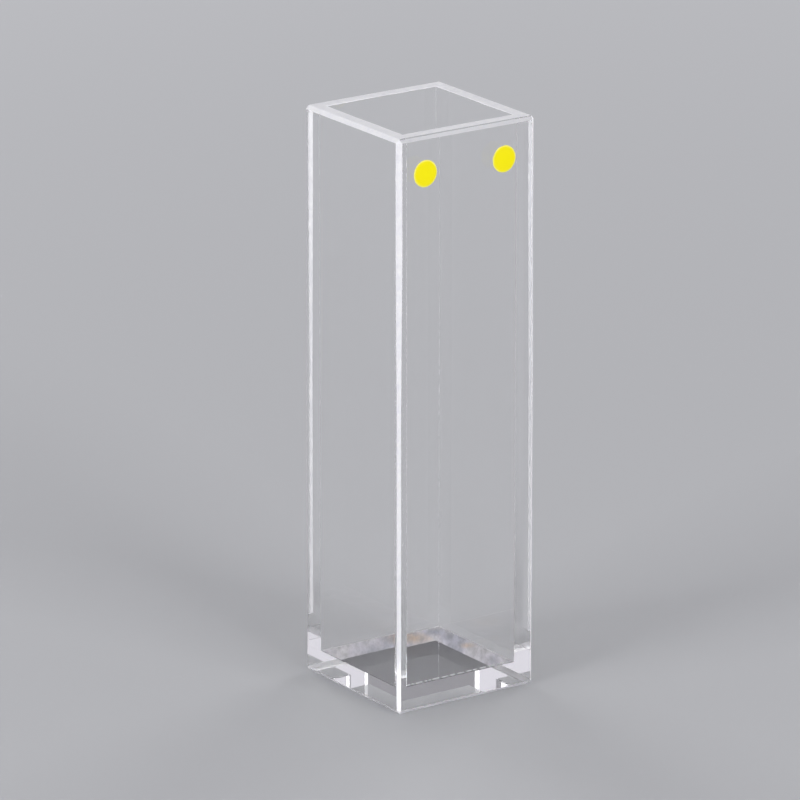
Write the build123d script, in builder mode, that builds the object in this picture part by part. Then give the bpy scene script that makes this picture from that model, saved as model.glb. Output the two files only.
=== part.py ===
"""Square 10 mm cuvette: four polished windows fused round a base plate, open at the top.

Sizes are in millimetres and +Z is up. The origin is the middle of the underside, which is the
face that the cell stands on. The window that carries the two printed dots faces -Y.
"""

import os

from build123d import *

# Driving dimensions
light_path = 10.0  # clear distance between two opposite windows
window_thickness = 1.25
base_thickness = 1.8
overall_height = 45.0
arris_chamfer = 0.3  # ground bevel along every outer edge of the fused cell
dot_diameter = 2.1
dot_spacing = 7.15  # between the two dots' centres
dot_offset = -0.25  # the pair is printed a little left of the middle
dot_below_rim = 2.9  # from the rim down to the dots' centres
dot_thickness = 0.04  # height of the fired enamel above the glass

# Sizes that follow from them
outer_width = light_path + 2 * window_thickness
window_offset = (light_path + window_thickness) / 2  # cell axis to the middle of a window

# Base plate: closes the foot of the cell, flush with the windows' lower ends
with BuildPart() as base_plate:
    with BuildSketch():
        Rectangle(light_path, light_path)
    extrude(amount=base_thickness)

# Front window: spans the full width and carries both front corners of the cell
with BuildPart() as front_window:
    with BuildSketch():
        with Locations((0, -window_offset)):
            Rectangle(outer_width, window_thickness)
    extrude(amount=overall_height)
    front_corners = front_window.faces().sort_by(Axis.Y)[0].edges().filter_by(Axis.Z)
    front_foot = front_window.faces().sort_by(Axis.Z)[0].edges().sort_by(Axis.Y)[:-1]
    front_rim = front_window.faces().sort_by(Axis.Z)[-1].edges().sort_by(Axis.Y)[:-1]
    chamfer(front_corners + front_foot + front_rim, arris_chamfer)

# Rear window: the front one, mirrored
with BuildPart() as rear_window:
    mirror(front_window.part, about=Plane.XZ)

# Left window: fills the gap between the front and rear windows
with BuildPart() as left_window:
    with BuildSketch():
        with Locations((-window_offset, 0)):
            Rectangle(window_thickness, light_path)
    extrude(amount=overall_height)
    left_face = left_window.faces().sort_by(Axis.X)[0]
    chamfer(left_face.edges().filter_by(Axis.Y), arris_chamfer)

# Right window: the left one, mirrored
with BuildPart() as right_window:
    mirror(left_window.part, about=Plane.YZ)


def printed_dot(side):
    """Enamel disc on the front window's outer face; side is -1 for the left dot, 1 for the right."""
    front_face = Plane(
        origin=(dot_offset + side * dot_spacing / 2, -outer_width / 2, overall_height - dot_below_rim),
        x_dir=(1, 0, 0),
        z_dir=(0, -1, 0),
    )
    with BuildPart() as dot:
        with BuildSketch(front_face):
            Circle(dot_diameter / 2)
        extrude(amount=dot_thickness)
    return dot


left_dot = printed_dot(-1)
right_dot = printed_dot(1)

pieces = {
    "base_plate": base_plate,
    "front_window": front_window,
    "rear_window": rear_window,
    "left_window": left_window,
    "right_window": right_window,
    "left_dot": left_dot,
    "right_dot": right_dot,
}

os.makedirs("parts", exist_ok=True)
for name, piece in pieces.items():
    piece.part.label = name
    export_step(piece.part, f"parts/{name}.step")
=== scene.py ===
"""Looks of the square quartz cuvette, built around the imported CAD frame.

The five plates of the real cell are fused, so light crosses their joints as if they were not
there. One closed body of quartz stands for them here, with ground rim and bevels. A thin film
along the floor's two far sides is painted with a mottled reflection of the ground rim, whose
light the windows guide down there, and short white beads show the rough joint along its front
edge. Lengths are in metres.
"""

import math
import random

import bmesh
import bpy
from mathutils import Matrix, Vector, noise


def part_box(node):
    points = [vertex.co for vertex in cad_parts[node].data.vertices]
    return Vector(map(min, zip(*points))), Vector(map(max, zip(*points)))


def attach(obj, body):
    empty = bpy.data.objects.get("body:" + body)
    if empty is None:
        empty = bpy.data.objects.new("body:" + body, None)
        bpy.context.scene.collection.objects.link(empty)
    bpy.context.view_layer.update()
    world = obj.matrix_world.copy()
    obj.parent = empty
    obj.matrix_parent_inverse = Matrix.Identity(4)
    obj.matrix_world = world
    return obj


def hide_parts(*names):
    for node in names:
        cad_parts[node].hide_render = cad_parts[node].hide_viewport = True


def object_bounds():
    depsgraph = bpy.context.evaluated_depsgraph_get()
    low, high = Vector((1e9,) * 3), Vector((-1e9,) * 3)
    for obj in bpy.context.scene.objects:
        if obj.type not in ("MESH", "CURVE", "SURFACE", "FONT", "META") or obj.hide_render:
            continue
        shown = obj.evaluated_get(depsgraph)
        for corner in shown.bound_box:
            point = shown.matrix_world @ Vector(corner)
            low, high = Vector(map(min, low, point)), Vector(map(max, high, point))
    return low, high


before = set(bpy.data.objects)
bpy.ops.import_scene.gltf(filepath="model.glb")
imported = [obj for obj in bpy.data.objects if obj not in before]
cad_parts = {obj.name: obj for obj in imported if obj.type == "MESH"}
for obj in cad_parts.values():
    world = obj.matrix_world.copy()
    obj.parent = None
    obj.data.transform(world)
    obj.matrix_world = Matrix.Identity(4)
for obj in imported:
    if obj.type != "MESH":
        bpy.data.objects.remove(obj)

CAD_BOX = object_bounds()

MM = 0.001

# The photographed view: a long lens, looking at the cell from its dotted side and its left
CAMERA_AZIMUTH = -34.74  # degrees from the -Y side, towards -X
CAMERA_ELEVATION = 17.49
CAMERA_DISTANCE = 520.8 * MM
CAMERA_LENS = 309.4  # in mm, for the sensor's width below
SENSOR_WIDTH = 36.0
CAMERA_ASIDE = -1.46 * MM  # the cell stands a little right of the picture's middle
CAMERA_DROP = -0.23 * MM
CLIP_NEAR, CLIP_FAR = 10 * MM, 10.0

# Sizes read from the frame
BASE_LOW, BASE_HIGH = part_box("base_plate")
FRONT_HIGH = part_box("front_window")[1]
LEFT_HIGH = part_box("left_window")[1]
HALF = FRONT_HIGH.x  # half the cell's outer width
CAVITY = -LEFT_HIGH.x  # half the cavity's width
FLOOR_Z = BASE_HIGH.z  # top of the base plate, which is the cavity's floor
TOP_Z = FRONT_HIGH.z
ON_THE_GROUND = 1e-6
FOOT_HALF = max(
    v.co.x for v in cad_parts["front_window"].data.vertices if v.co.z < ON_THE_GROUND
)
ARRIS = HALF - FOOT_HALF  # leg of the ground bevels

# The sides of every ring, in their order round the cell; the left one is the last
FRONT, RIGHT, REAR = range(3)
FAR_SIDES = (RIGHT, REAR)

# Fine detail of the quartz
SIDE_STEPS = 84  # steps along one side of a ring
WALL_LEVELS = 150  # bands up the outer walls
CAVITY_LEVELS = 120  # bands down the cavity
EDGE_WANDER = 0.010 * MM  # how far a hand-ground bevel's edge strays
SLOW_WAVES, FAST_WAVES = 0.35, 2.3  # how quickly it strays, for each mm along the edge
SLOW_SHARE, FAST_SHARE = 1.3, 0.6  # and how much of it is slow and fast
BEVEL_LOW = 0.80  # share of the nominal bevel on the lower half of the cell
BEVEL_TOP = 1.17  # and near the rim, where it was ground wider
TAPER_FROM, TAPER_TO = 0.49, 0.86  # shares of the height between which it widens
RIM_LINE = 0.07 * MM  # unground line between the rim and its bevel, on the dotted side
RIM_BREAK = 0.05 * MM  # bevel along the rim's inner edge
INNER_CORNER = 0.018 * MM  # blunted corners of the cavity
FLOOR_FILLET = 0.06 * MM  # and of its floor
CORNER_TIP = 0.03 * MM  # blunted tips where the bevels meet
DASH_SHARE = 0.45  # about how much of the rear right corner's line is white

# Beads in the floor's front joint
BEAD_RADIUS = 0.062 * MM
BEAD_SLIMMEST = 0.75  # share of that radius
BEAD_STANDOFF = 1.15 * BEAD_RADIUS  # from the middle of the joint's slope to a bead's axis, in and up
BEAD_RINGS = 7
BEAD_STEPS = 10
BEAD_SEED = 4
BEAD_SHORTEST, BEAD_LONGEST = 0.15 * MM, 0.80 * MM
BEAD_GAP = 0.16 * MM
BEAD_CLOSEST = BEAD_GAP / 5

# Painted reflection on the floor: a film painted with the ground rim's light, which the windows guide
# down to the floor's far sides
PAINTED_REFLECTION_THICKNESS = 0.004 * MM
PAINTED_REFLECTION_CLEARANCE = 0.002 * MM
PAINTED_REFLECTION_REAR = 2.55 * MM  # width of the painted reflection along the rear window
PAINTED_REFLECTION_RIGHT = 2.10 * MM  # and along the right one
PAINTED_COLOUR_FRINGES = (  # place, reach and colour of its painted amber and blue colour fringes
    ((1.7 * MM, 3.8 * MM, FLOOR_Z), 1.7 * MM, (0.72, 0.56, 0.42)),
    ((4.0 * MM, 4.1 * MM, FLOOR_Z), 1.0 * MM, (0.50, 0.52, 0.64)),
    ((4.2 * MM, 0.1 * MM, FLOOR_Z), 0.8 * MM, (0.74, 0.60, 0.50)),
)

# Printed dots
DOT_GAP = 0.001 * MM  # the enamel lies on the glass without wetting it
DOT_RINGS = 14
DOT_STEPS = 96
DOT_BACK = 0.97  # share of the radius that lies on the glass
DOT_MIDDLE = 0.05  # share of the radius at which the face closes
DOT_PROUD = 0.97  # share of the CAD dot's thickness

# Finishes
QUARTZ_IOR = 1.4585
GRIT = 0.57  # middle roughness of ground quartz
SHEER_GRIT = 0.85  # and of the sheer faces, which spread the light that they pass more widely
BUMP_DEPTH = 0.01 * MM

# Stage
FLOOR_REACH = 1.5
FLOOR_DROP = 0.01 * MM  # how far the floor lies under the cell
FLOOR_COLOUR = (0.44, 0.445, 0.46, 1.0)
SOFTBOXES = (  # name, place, size and power, clear of what the flat faces mirror to the camera
    ("left_softbox", (-0.55, -0.04, 0.28), 0.28, 1.6),
    ("front_softbox", (0.04, -0.55, 0.28), 0.28, 1.7),
    ("right_softbox", (0.51, 0.20, 0.14), 0.26, 1.3),
    ("rear_softbox", (0.02, 0.55, 0.14), 0.26, 1.6),
)
WORLD_STRENGTH = 0.74
WORLD_BEYOND = 0.30  # and beyond the cell, as seen from the photographed side
SKY = (  # height of the direction looked in, and the sky's colour there
    (0.00, (0.70, 0.70, 0.73)),
    (0.12, (0.98, 0.96, 1.04)),
    (0.48, (0.98, 0.96, 1.04)),
    (0.62, (0.60, 0.60, 0.61)),
    (1.00, (0.42, 0.42, 0.43)),
)
MANY_BOUNCES, SOME_BOUNCES = 32, 16


# ---------------------------------------------------------------- materials


def new_material(name):
    """A node material with its Principled shader."""
    material = bpy.data.materials.new(name)
    material.use_nodes = True
    return material, material.node_tree, material.node_tree.nodes["Principled BSDF"]


def node(tree, kind, inputs=None, **settings):
    """Adds a node, with its settings and its inputs' values or links."""
    made = tree.nodes.new(kind)
    for key, value in settings.items():
        setattr(made, key, value)
    for key, value in (inputs or {}).items():
        if isinstance(value, bpy.types.NodeSocket):
            tree.links.new(value, made.inputs[key])
        else:
            made.inputs[key].default_value = value
    return made


def own_place(tree):
    """The surface point in the frame's own coordinates."""
    return tree.nodes.new("ShaderNodeTexCoord").outputs["Object"]


def noise_at(tree, place, scale, detail, rough, squash=(1.0, 1.0, 1.0)):
    """Noise value at place; scale is features per metre, squash stretches it along an axis."""
    moved = node(tree, "ShaderNodeVectorMath", {0: place, 1: squash}, operation="MULTIPLY")
    made = node(
        tree,
        "ShaderNodeTexNoise",
        {"Vector": moved.outputs[0], "Scale": scale, "Detail": detail, "Roughness": rough},
    )
    return made.outputs["Fac"]


def ranged(tree, value, span, onto):
    """value mapped from the two ends of span to the two of onto, clamped."""
    return node(
        tree,
        "ShaderNodeMapRange",
        {"Value": value, "From Min": span[0], "From Max": span[1], "To Min": onto[0], "To Max": onto[1]},
    ).outputs["Result"]


def ramp(tree, value, stops):
    """Colour ramp with (position, linear colour) stops."""
    made = node(tree, "ShaderNodeValToRGB", {"Fac": value})
    elements = made.color_ramp.elements
    while len(elements) < len(stops):
        elements.new(0.5)  # each one's own position is set below
    for element, (position, colour) in zip(elements, stops):
        element.position = position
        element.color = (*colour, 1.0)
    return made.outputs["Color"]


def distance_from(tree, place, centre):
    """Distance of the surface point from centre."""
    far = node(tree, "ShaderNodeVectorMath", {0: place, 1: centre}, operation="DISTANCE")
    return far.outputs["Value"]


def add_bump(tree, shader, height, strength):
    """Bends the shader's normal by the height's slopes."""
    bump = node(
        tree, "ShaderNodeBump", {"Height": height, "Strength": strength, "Distance": BUMP_DEPTH}
    )
    tree.links.new(bump.outputs["Normal"], shader.inputs["Normal"])


def polished_quartz():
    """Optically polished fused quartz."""
    material, tree, shader = new_material("polished_quartz")
    place = own_place(tree)
    haze_and_painted_reflection = noise_at(tree, place, scale=420.0, detail=4.0, rough=0.6)
    shader.inputs["Base Color"].default_value = (1.0, 1.0, 1.0, 1.0)
    shader.inputs["IOR"].default_value = QUARTZ_IOR
    shader.inputs["Transmission Weight"].default_value = 1.0
    tree.links.new(ranged(tree, haze_and_painted_reflection, (0.56, 0.8), (0.0, 0.02)), shader.inputs["Roughness"])
    return material


def ground_quartz(name, clearness, whiteness, grit=GRIT):
    """Quartz ground with fine grit; clearness is the share of light that it passes, scattered."""
    material, tree, shader = new_material(name)
    place = own_place(tree)
    grain = noise_at(tree, place, scale=30000.0, detail=2.0, rough=0.6)
    cloud = noise_at(tree, place, scale=2200.0, detail=4.0, rough=0.65)
    shades = [(0.30, (0.88, 0.88, 0.93)), (0.52, (0.95, 0.95, 0.975)), (0.72, (0.99, 0.985, 0.98))]
    tint = ramp(
        tree,
        cloud,
        [(at, tuple(whiteness * part for part in shade)) for at, shade in shades],
    )
    tree.links.new(tint, shader.inputs["Base Color"])
    shader.inputs["IOR"].default_value = QUARTZ_IOR
    shader.inputs["Transmission Weight"].default_value = clearness
    rough = ranged(tree, cloud, (0.3, 0.7), (grit - 0.09, grit + 0.09))
    tree.links.new(rough, shader.inputs["Roughness"])
    add_bump(tree, shader, grain, strength=0.35)
    return material


def joint_line():
    """The fused line in the cavity's corners: quartz, rough here and there."""
    material, tree, shader = new_material("fused_corner")
    place = own_place(tree)
    dashes = noise_at(tree, place, scale=1300.0, detail=3.0, rough=0.7)
    shader.inputs["Base Color"].default_value = (0.97, 0.97, 1.0, 1.0)
    shader.inputs["IOR"].default_value = QUARTZ_IOR
    shader.inputs["Transmission Weight"].default_value = 1.0
    tree.links.new(ranged(tree, dashes, (0.42, 0.6), (0.02, 0.55)), shader.inputs["Roughness"])
    return material


def painted_rim_reflection():
    """Painted reflection of the ground rim, guided down the windows: mottled grey, with painted amber
    and blue colour fringes, streaked along the photographed view's heading.
    """
    material, tree, shader = new_material("painted_rim_reflection")
    place = own_place(tree)
    heading = math.radians(-CAMERA_AZIMUTH)
    turned = node(
        tree,
        "ShaderNodeMapping",
        {"Vector": place, "Rotation": (0.0, 0.0, heading)},
    ).outputs[0]
    patches = noise_at(tree, turned, scale=480.0, detail=2.0, rough=0.5, squash=(1.0, 0.35, 1.0))
    streaks = noise_at(tree, turned, scale=1700.0, detail=3.0, rough=0.6, squash=(1.0, 0.25, 1.0))
    tint = ramp(
        tree,
        patches,
        [(0.34, (0.60, 0.60, 0.68)), (0.46, (0.76, 0.74, 0.80)), (0.62, (0.82, 0.80, 0.83))],
    )
    # painted colour fringes of the guided light, in amber and blue
    for centre, reach, colour in PAINTED_COLOUR_FRINGES:
        far = distance_from(tree, place, centre)
        ragged = node(
            tree, "ShaderNodeMath", {0: streaks, 1: 1.2 * reach, 2: far}, operation="MULTIPLY_ADD"
        )
        share = ranged(tree, ragged.outputs[0], (0.7 * reach, 1.6 * reach), (0.85, 0.0))
        mixed = node(
            tree, "ShaderNodeMix", {"Factor": share, 6: tint, 7: (*colour, 1.0)}, data_type="RGBA"
        )
        tint = mixed.outputs[2]
    tree.links.new(tint, shader.inputs["Base Color"])
    shader.inputs["Roughness"].default_value = 0.7
    shader.inputs["Specular IOR Level"].default_value = 0.2
    tree.links.new(ranged(tree, streaks, (0.35, 0.62), (0.94, 0.58)), shader.inputs["Alpha"])
    return material


def yellow_enamel(name, centre, radius):
    """Fired enamel: strong yellow, a little paler where it thins at the dot's edge."""
    material, tree, shader = new_material(name)
    place = own_place(tree)
    reach = distance_from(tree, place, tuple(centre))
    share = ranged(tree, reach, (0.0, radius), (0.0, 1.0))
    mottle = noise_at(tree, place, scale=2600.0, detail=3.0, rough=0.6)
    ragged = node(tree, "ShaderNodeMath", {0: mottle, 1: 0.10, 2: -0.05}, operation="MULTIPLY_ADD")
    edge = node(tree, "ShaderNodeMath", {0: share, 1: ragged.outputs[0]}, operation="ADD")
    tint = ramp(
        tree,
        edge.outputs[0],
        [(0.0, (0.95, 0.85, 0.001)), (0.86, (0.94, 0.83, 0.004)), (0.97, (0.96, 0.90, 0.18))],
    )
    tree.links.new(tint, shader.inputs["Base Color"])
    shader.inputs["Specular IOR Level"].default_value = 0.15
    tree.links.new(ranged(tree, mottle, (0.3, 0.7), (0.38, 0.55)), shader.inputs["Roughness"])
    peel = noise_at(tree, place, scale=9000.0, detail=2.0, rough=0.5)
    add_bump(tree, shader, peel, strength=0.25)
    return material


# ---------------------------------------------------------------- meshes


def join_rings(mesh, rings):
    """Faces between each closed ring of vertices and the next."""
    for lower, upper in zip(rings, rings[1:]):
        for index in range(len(lower)):
            after = (index + 1) % len(lower)
            mesh.faces.new((lower[index], lower[after], upper[after], upper[index]))


def wander(*at):
    """Smooth random number about -1..1 for a place along a hand-ground edge."""
    slow = noise.noise(Vector(at) * SLOW_WAVES)
    fast = noise.noise(Vector(at) * FAST_WAVES + Vector((31.0, 7.0, 3.0)))
    return SLOW_SHARE * slow + FAST_SHARE * fast


def ring_points(half, leg_before, leg_after, z, seed=None, inward=0.0, drop=0.0):
    """Points of one ring, side by side round the cell.

    Each side runs between its two corner legs. With a seed, an edge strays inward in its own
    plane by up to inward, and down or up by drop.
    """
    points = []
    for side in range(4):
        turn = side * math.pi / 2
        start = -half + leg_before[side]
        end = half - leg_after[side]
        for step in range(SIDE_STEPS + 1):
            along = start + (end - start) * step / SIDE_STEPS
            stray = wander(along / MM, side * 17.0, seed) if seed is not None else 0.0
            across = -half + inward * stray
            x = along * math.cos(turn) - across * math.sin(turn)
            y = along * math.sin(turn) + across * math.cos(turn)
            points.append((x, y, z + drop * stray))
    return points


def plain_ring(half, leg, z, seed=None, inward=0.0, drop=0.0):
    """Ring with the same leg at all its corners."""
    legs = [leg] * 4
    return ring_points(half, legs, legs, z, seed, inward, drop)


def bevel_leg(z):
    """Leg of the upright bevels at height z, wider near the rim."""
    share = (z / TOP_Z - TAPER_FROM) / (TAPER_TO - TAPER_FROM)
    share = min(max(share, 0.0), 1.0)
    return ARRIS * (BEVEL_LOW + (BEVEL_TOP - BEVEL_LOW) * share * share * (3 - 2 * share))


def wall_ring(z):
    """Outer ring at height z, whose corner bevels stray in width."""
    leg = bevel_leg(z)
    before = [leg + EDGE_WANDER * wander(z / MM, side * 9.0, 1.5) for side in range(4)]
    after = [leg + EDGE_WANDER * wander(z / MM, side * 9.0, 71.5) for side in range(4)]
    return ring_points(HALF, before, after, z)


def uneven(points, seed):
    """The points with their heights strayed, for the end of a ground bevel."""
    return [(x, y, h + EDGE_WANDER * wander(x / MM, y / MM, seed)) for x, y, h in points]


def dashed(side, step, level):
    """True where the fused line up the cavity's rear right corner is white, in dashes."""
    if side != RIGHT:
        return False
    return 0.5 + noise.noise(Vector((step * 0.55, level * 0.9, 7.0 * side))) < DASH_SHARE


def fused_cell_mesh():
    """One closed body of quartz: outer walls, rim, cavity and underside, as stacked rings."""
    clear, ground, line, sheer, painted_shade = range(5)
    rings = []  # (points, material of the band up to the next ring, material across corners)
    foot = plain_ring(HALF - ARRIS, CORNER_TIP, 0.0, seed=5.0, inward=EDGE_WANDER)
    rings.append((foot, ground, ground))
    span = TOP_Z - 2 * ARRIS
    for level in range(WALL_LEVELS + 1):
        points = wall_ring(ARRIS + span * level / WALL_LEVELS)
        if level == 0:
            points = uneven(points, 12.0)
        if level == WALL_LEVELS:
            points = uneven(points, 11.0)
        rings.append((points, ground if level == WALL_LEVELS else clear, ground))
    shoulder = HALF - ARRIS
    rim_edge = {"seed": 6.0, "inward": EDGE_WANDER}
    low_line = plain_ring(shoulder + RIM_LINE, CORNER_TIP, TOP_Z - RIM_LINE, **rim_edge)
    rings.append((low_line, ground, ground))
    rings.append((plain_ring(shoulder, CORNER_TIP, TOP_Z, **rim_edge), ground, ground))
    rim_inside = plain_ring(
        CAVITY + RIM_BREAK, INNER_CORNER, TOP_Z, seed=7.0, inward=0.6 * RIM_BREAK
    )
    rings.append((rim_inside, ground, ground))
    mouth = plain_ring(CAVITY, INNER_CORNER, TOP_Z - RIM_BREAK, seed=8.0, drop=0.5 * RIM_BREAK)
    rings.append((mouth, clear, line))
    corner_top = TOP_Z - 4 * RIM_BREAK
    corner_foot = FLOOR_Z + FLOOR_FILLET
    for level in range(CAVITY_LEVELS + 1):
        z = corner_top + (corner_foot - corner_top) * level / CAVITY_LEVELS
        rings.append((plain_ring(CAVITY, INNER_CORNER, z), clear, line))
    rings.append((plain_ring(CAVITY - FLOOR_FILLET, INNER_CORNER, FLOOR_Z), clear, clear))

    foot_bevel = 0
    rim_bevel = WALL_LEVELS + 1
    rim_line = rim_bevel + 1
    floor_line = len(rings) - 2
    cavity_start = floor_line - CAVITY_LEVELS

    def finish_of(level, index):
        """Material of the face that starts at a ring's point."""
        side, step = divmod(index, SIDE_STEPS + 1)
        across_corner = step == SIDE_STEPS
        if level in (foot_bevel, floor_line) and side in FAR_SIDES:
            return sheer
        if across_corner and foot_bevel < level < rim_bevel and side in FAR_SIDES:
            return sheer
        if across_corner and level >= cavity_start and dashed(side, step, level):
            return ground
        # painted shade: the rim bevel on the dotted side takes a darker copy of the ground quartz
        if not across_corner and side == FRONT and level == rim_bevel:
            return painted_shade
        if not across_corner and side == FRONT and level == rim_line:
            return clear
        _, band, corner = rings[level]
        return corner if across_corner else band

    mesh = bmesh.new()
    made = [[mesh.verts.new(point) for point in points] for points, _, _ in rings]
    join_rings(mesh, made)
    for order, face in enumerate(mesh.faces):
        face.material_index = finish_of(*divmod(order, len(made[0])))
    mesh.faces.new(made[0][::-1])
    mesh.faces.new(made[-1])
    return mesh


def beads_mesh():
    """Short white beads in the fused joint along the floor's front edge."""
    mesh = bmesh.new()
    chance = random.Random(BEAD_SEED)
    inset = CAVITY - FLOOR_FILLET / 2 - BEAD_STANDOFF
    height = FLOOR_Z + FLOOR_FILLET / 2 + BEAD_STANDOFF
    start = -inset
    while start < inset - BEAD_LONGEST:
        length = chance.uniform(BEAD_SHORTEST, BEAD_LONGEST)
        radius = BEAD_RADIUS * chance.uniform(BEAD_SLIMMEST, 1.0)
        add_bead(mesh, Vector((start + length / 2, -inset, height)), length / 2, radius)
        start += length + chance.uniform(BEAD_CLOSEST, BEAD_GAP)
    return mesh


def add_bead(mesh, centre, half_length, radius):
    """Round-ended rod along X."""
    rings = []
    for ring in range(BEAD_RINGS):
        share = -1 + 2 * (ring + 0.5) / BEAD_RINGS
        reach = radius * (1 - share**4) ** 0.5
        points = []
        for step in range(BEAD_STEPS):
            turn = 2 * math.pi * step / BEAD_STEPS
            offset = Vector((half_length * share, reach * math.cos(turn), reach * math.sin(turn)))
            points.append(mesh.verts.new(centre + offset))
        rings.append(points)
    join_rings(mesh, rings)
    mesh.faces.new(rings[0][::-1])
    mesh.faces.new(rings[-1])


def painted_reflection_mesh():
    """Thin closed L along the floor's rear and right sides, which carries the painted reflection."""
    outer = CAVITY - FLOOR_FILLET - PAINTED_REFLECTION_CLEARANCE
    rear, right = CAVITY - PAINTED_REFLECTION_REAR, CAVITY - PAINTED_REFLECTION_RIGHT
    outline = [
        (-outer, rear),
        (right, rear),
        (right, -outer),
        (outer, -outer),
        (outer, outer),
        (-outer, outer),
    ]
    low = FLOOR_Z + PAINTED_REFLECTION_CLEARANCE
    mesh = bmesh.new()
    bottom, top = (
        [mesh.verts.new((x, y, z)) for x, y in outline] for z in (low, low + PAINTED_REFLECTION_THICKNESS)
    )
    mesh.faces.new(bottom[::-1])
    mesh.faces.new(top)
    join_rings(mesh, [bottom, top])
    return mesh


def dot_mesh(low, high, seed):
    """Printed dot: flat on the glass, softly rounded at its edge, with a slightly uneven outline."""
    mesh = bmesh.new()
    centre = (low + high) / 2
    radius = (high.x - low.x) / 2
    back = high.y - DOT_GAP
    proud = high.y - low.y

    def ring(share, y):
        points = []
        for step in range(DOT_STEPS):
            turn = 2 * math.pi * step / DOT_STEPS
            stray = noise.noise(Vector((3 * math.cos(turn), 3 * math.sin(turn), seed)))
            reach = radius * share * (0.993 + 0.014 * stray)
            place = (centre.x + reach * math.cos(turn), y, centre.z + reach * math.sin(turn))
            points.append(mesh.verts.new(place))
        return points

    rings = [ring(DOT_BACK, back)]
    for index in range(DOT_RINGS):
        share = math.cos(index / (DOT_RINGS - 1) * math.pi / 2)
        edge = (1 - share**6) ** 0.5
        rings.append(ring(max(share, DOT_MIDDLE), high.y - proud * DOT_PROUD * edge))
    join_rings(mesh, rings)
    mesh.faces.new(rings[0])
    mesh.faces.new(rings[-1])
    bmesh.ops.recalc_face_normals(mesh, faces=mesh.faces[:])
    return mesh


def add_piece(name, mesh, materials, smooth=False):
    """Turns a bmesh into an object with its materials."""
    data = bpy.data.meshes.new(name)
    mesh.to_mesh(data)
    mesh.free()
    for material in materials:
        data.materials.append(material)
    for polygon in data.polygons:
        polygon.use_smooth = smooth
    piece = bpy.data.objects.new(name, data)
    bpy.context.scene.collection.objects.link(piece)
    return piece


def add_cell():
    """The quartz, the film with the painted reflection on its floor and the beads in the floor's front
    joint.
    """
    mesh = fused_cell_mesh()
    bmesh.ops.recalc_face_normals(mesh, faces=mesh.faces[:])
    materials = [
        polished_quartz(),
        ground_quartz("ground_quartz", clearness=0.3, whiteness=1.0),
        joint_line(),
        ground_quartz("sheer_quartz", clearness=0.7, whiteness=1.0, grit=SHEER_GRIT),
        # painted shade: a darker copy of the ground quartz, for the rim bevel on the dotted side
        ground_quartz("painted_shade_quartz", clearness=0.3, whiteness=0.76),
    ]
    cell = add_piece("fused_cell", mesh, materials)
    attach(cell, "root")
    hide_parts("base_plate", "front_window", "rear_window", "left_window", "right_window")
    # film painted with the reflection of the ground rim, guided down the windows
    haze_and_painted_reflection = add_piece("painted_rim_reflection", painted_reflection_mesh(), [painted_rim_reflection()])
    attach(haze_and_painted_reflection, "root")
    white = ground_quartz("bead_quartz", clearness=0.1, whiteness=1.0)
    beads = add_piece("joint_beads", beads_mesh(), [white], smooth=True)
    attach(beads, "root")


def add_dots():
    """The two printed dots, in the place of the CAD ones."""
    for seed, name in ((2.0, "left_dot"), (9.0, "right_dot")):
        low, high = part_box(name)
        centre = (low + high) / 2
        radius = (high.x - low.x) / 2
        enamel = yellow_enamel("enamel_" + name, centre, radius)
        dot = add_piece("printed_" + name, dot_mesh(low, high, seed), [enamel], smooth=True)
        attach(dot, "root")
        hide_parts(name)


# ---------------------------------------------------------------- stage


def add_floor():
    """Plain pale floor just under the cell."""
    mesh = bmesh.new()
    level = CAD_BOX[0][2] - FLOOR_DROP
    signs = ((-1, -1), (1, -1), (1, 1), (-1, 1))
    mesh.faces.new([mesh.verts.new((x * FLOOR_REACH, y * FLOOR_REACH, level)) for x, y in signs])
    material, _, shader = new_material("studio_floor")
    shader.inputs["Base Color"].default_value = FLOOR_COLOUR
    shader.inputs["Roughness"].default_value = 0.5
    shader.inputs["Specular IOR Level"].default_value = 0.05
    floor = add_piece("floor", mesh, [material])


def add_light(name, place, size, energy):
    """Square softbox that looks at the cell."""
    data = bpy.data.lights.new(name, "AREA")
    data.shape = "SQUARE"
    data.size = size
    data.energy = energy
    light = bpy.data.objects.new(name, data)
    light.location = place
    towards_cell = Vector((0, 0, TOP_Z / 2)) - Vector(place)
    light.rotation_euler = towards_cell.to_track_quat("-Z", "Y").to_euler()
    bpy.context.scene.collection.objects.link(light)


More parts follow.
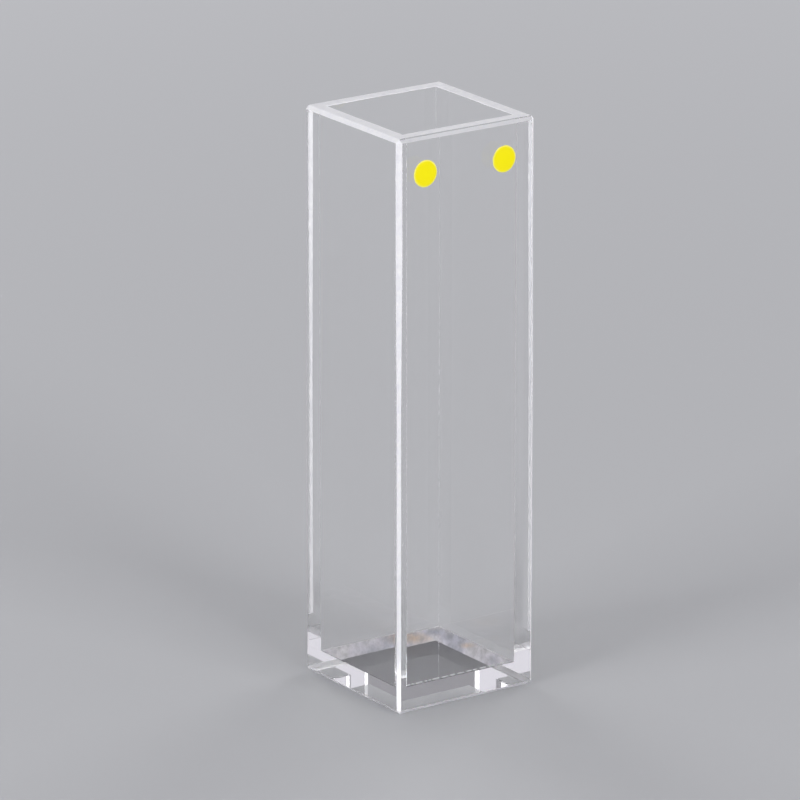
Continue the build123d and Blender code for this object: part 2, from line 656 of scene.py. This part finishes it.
def add_world():
    """Pale sky, dimmer overhead and beyond the cell."""
    world = bpy.data.worlds.new("studio")
    world.use_nodes = True
    tree = world.node_tree
    background = tree.nodes["Background"]
    heading = tree.nodes.new("ShaderNodeTexCoord").outputs["Generated"]
    up = node(tree, "ShaderNodeSeparateXYZ", {0: heading}).outputs["Z"]
    tree.links.new(ramp(tree, up, SKY), background.inputs["Color"])
    azimuth = math.radians(CAMERA_AZIMUTH)
    away = (-math.sin(azimuth), math.cos(azimuth), 0.0)
    facing = node(tree, "ShaderNodeVectorMath", {0: heading, 1: away}, operation="DOT_PRODUCT")
    strengths = (WORLD_STRENGTH, WORLD_BEYOND)
    strength = ranged(tree, facing.outputs["Value"], (0.50, 0.85), strengths)
    tree.links.new(strength, background.inputs["Strength"])
    bpy.context.scene.world = world


def add_camera():
    """Camera at the photographed view, aimed near the cell's middle."""
    data = bpy.data.cameras.new("camera")
    data.lens = CAMERA_LENS
    data.sensor_width = SENSOR_WIDTH
    data.clip_start = CLIP_NEAR
    data.clip_end = CLIP_FAR
    camera = bpy.data.objects.new("camera", data)
    azimuth = math.radians(CAMERA_AZIMUTH)
    elevation = math.radians(CAMERA_ELEVATION)
    back = Vector(
        (
            math.sin(azimuth) * math.cos(elevation),
            -math.cos(azimuth) * math.cos(elevation),
            math.sin(elevation),
        )
    )
    aside = Vector((math.cos(azimuth), math.sin(azimuth), 0.0))
    upward = back.cross(aside)
    middle = Vector((0.0, 0.0, (BASE_LOW.z + TOP_Z) / 2))
    camera.location = middle + back * CAMERA_DISTANCE + aside * CAMERA_ASIDE + upward * CAMERA_DROP
    camera.rotation_euler = (-back).to_track_quat("-Z", "Y").to_euler()
    bpy.context.scene.collection.objects.link(camera)
    bpy.context.scene.camera = camera


def set_light_paths():
    """Enough bounces for light that is guided inside the quartz."""
    scene = bpy.context.scene
    scene.view_settings.view_transform = "Standard"
    scene.cycles.max_bounces = MANY_BOUNCES
    scene.cycles.transmission_bounces = MANY_BOUNCES
    scene.cycles.glossy_bounces = SOME_BOUNCES
    scene.cycles.transparent_max_bounces = MANY_BOUNCES


add_camera()
add_cell()
add_dots()
add_floor()
for softbox in SOFTBOXES:
    add_light(*softbox)
add_world()
set_light_paths()
